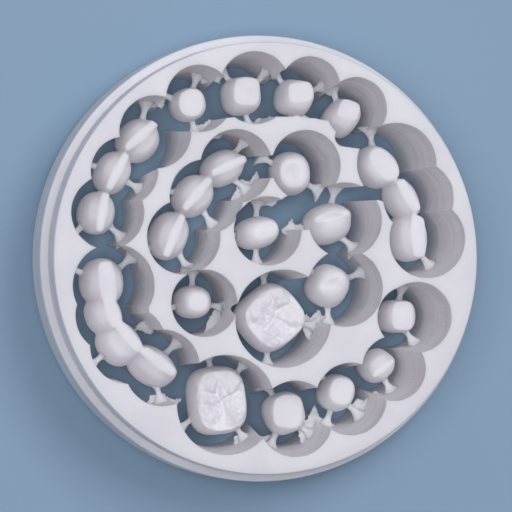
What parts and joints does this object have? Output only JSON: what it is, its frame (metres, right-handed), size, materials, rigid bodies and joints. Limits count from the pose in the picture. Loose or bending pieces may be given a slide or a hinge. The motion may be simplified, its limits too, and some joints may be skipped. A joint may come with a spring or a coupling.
{
  "type": "milled dental disc",
  "caption": "Stepped ceramic milling disc with crowns and bridges held by thin sprues in scalloped pockets cut right through it.",
  "frame": {"origin": "centre of the back face, on the disc's axis", "axes": "+Z along the disc's axis towards the front face, which the biting faces look to; +X to the picture's right and +Y to its top"},
  "size_m": [0.0984, 0.0984, 0.025],
  "materials": {
    "chalky_ceramic": "matte, unglazed and chalky, as milled before firing"
  },
  "bodies": {
    "root": {"milled_disc": "chalky_ceramic"}
  },
  "joints": []
}
